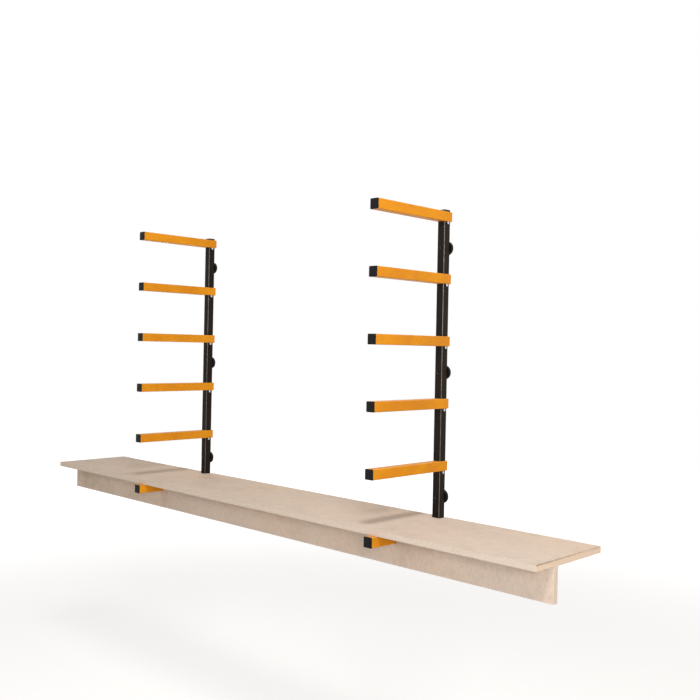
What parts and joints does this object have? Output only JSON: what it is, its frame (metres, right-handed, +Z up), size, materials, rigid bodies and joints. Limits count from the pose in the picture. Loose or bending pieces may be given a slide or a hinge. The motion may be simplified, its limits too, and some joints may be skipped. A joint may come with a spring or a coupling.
{
  "type": "wall-mounted lumber rack",
  "caption": "Wall-hung lumber rack: square-tube uprights carry tiers of horizontal capped arms, and a T-shaped board shelf rests on the lowest pair.",
  "frame": {"origin": "on the wall plane, midway between the two columns, at the height of the middle wall bolts", "axes": "+X to the right along the wall, +Y into the wall, +Z up; the arms reach out along -Y"},
  "size_m": [2.43, 0.345, 1.077],
  "materials": {
    "orange_powder_coat": "semi-gloss orange powder coat",
    "black_powder_coat": "satin black powder coat",
    "black_plastic": "fine-textured moulded plastic",
    "zinc_plate": "bright zinc plating",
    "screw_steel": "yellow passivated zinc",
    "mdf": "bare fibreboard, sawn edges"
  },
  "bodies": {
    "rack": {"upright_left": "black_powder_coat", "upright_plug_top_left": "black_plastic", "upright_plug_bottom_left": "black_plastic", "wall_spacers_left": "black_plastic", "arm_left_1": "orange_powder_coat", "end_cap_left_1": "black_plastic", "arm_left_2": "orange_powder_coat", "end_cap_left_2": "black_plastic", "arm_left_3": "orange_powder_coat", "end_cap_left_3": "black_plastic", "arm_left_4": "orange_powder_coat", "end_cap_left_4": "black_plastic", "arm_left_5": "orange_powder_coat", "end_cap_left_5": "black_plastic", "arm_left_6": "orange_powder_coat", "end_cap_left_6": "black_plastic", "arm_bolts_left": "zinc_plate", "arm_nuts_left": "zinc_plate", "upright_right": "black_powder_coat", "upright_plug_top_right": "black_plastic", "upright_plug_bottom_right": "black_plastic", "wall_spacers_right": "black_plastic", "arm_right_1": "orange_powder_coat", "end_cap_right_1": "black_plastic", "arm_right_2": "orange_powder_coat", "end_cap_right_2": "black_plastic", "arm_right_3": "orange_powder_coat", "end_cap_right_3": "black_plastic", "arm_right_4": "orange_powder_coat", "end_cap_right_4": "black_plastic", "arm_right_5": "orange_powder_coat", "end_cap_right_5": "black_plastic", "arm_right_6": "orange_powder_coat", "end_cap_right_6": "black_plastic", "arm_bolts_right": "zinc_plate", "arm_nuts_right": "zinc_plate"},
    "shelf": {"shelf_board": "mdf", "shelf_rib": "mdf", "shelf_screws": "screw_steel"}
  },
  "joints": [
    {"name": "shelf_slide", "type": "slide", "parent": "rack", "child": "shelf", "axis": [0, -1, 0], "range_m": [0, 0.12]}
  ]
}
